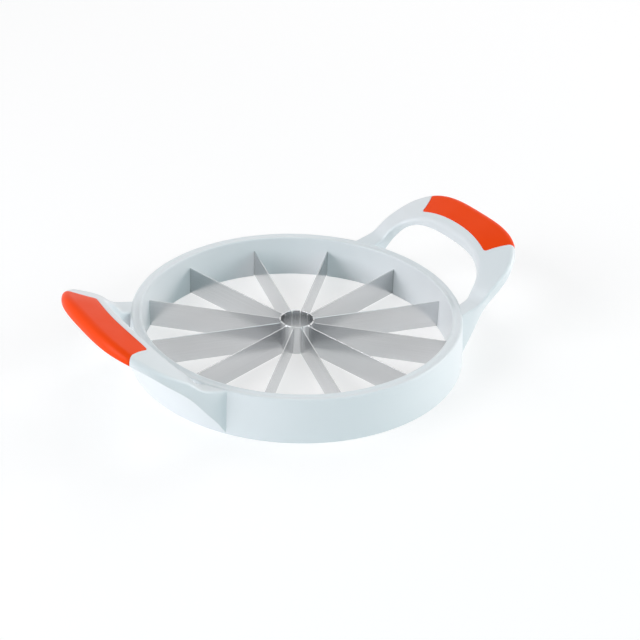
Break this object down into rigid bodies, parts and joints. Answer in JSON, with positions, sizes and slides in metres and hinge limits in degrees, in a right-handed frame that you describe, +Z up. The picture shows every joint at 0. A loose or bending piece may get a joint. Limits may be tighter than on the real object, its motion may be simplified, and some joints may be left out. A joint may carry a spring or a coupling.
{
  "type": "melon slicer",
  "caption": "Round melon slicer: a white ring of radial steel blades round a core tube, pressed down by a looped handle with an orange soft grip at each side.",
  "frame": {"origin": "on the ring's axis, in the plane that the ring stands on", "axes": "+Z up along the ring's axis, +X through the middle of the right handle, +Y away from the viewer"},
  "size_m": [0.3936, 0.286, 0.0838],
  "materials": {
    "white_plastic": "satin moulded white with a cool cast",
    "clamp_plastic": "fine matt moulded white",
    "grip_rubber": "smooth orange-red soft moulding with a low sheen",
    "blade_steel": "finely brushed stainless steel",
    "screw_steel": "plain zinc-plated"
  },
  "bodies": {
    "root": {"frame": "white_plastic", "retaining_ring": "clamp_plastic", "core_ring": "blade_steel", "blade_01": "blade_steel", "blade_02": "blade_steel", "blade_03": "blade_steel", "blade_04": "blade_steel", "blade_05": "blade_steel", "blade_06": "blade_steel", "blade_07": "blade_steel", "blade_08": "blade_steel", "blade_09": "blade_steel", "blade_10": "blade_steel", "blade_11": "blade_steel", "blade_12": "blade_steel", "ring_screws": "screw_steel", "left_grip": "grip_rubber", "right_grip": "grip_rubber", "left_handle_cover": "clamp_plastic", "right_handle_cover": "clamp_plastic", "left_cover_screws": "screw_steel", "right_cover_screws": "screw_steel"}
  },
  "joints": []
}
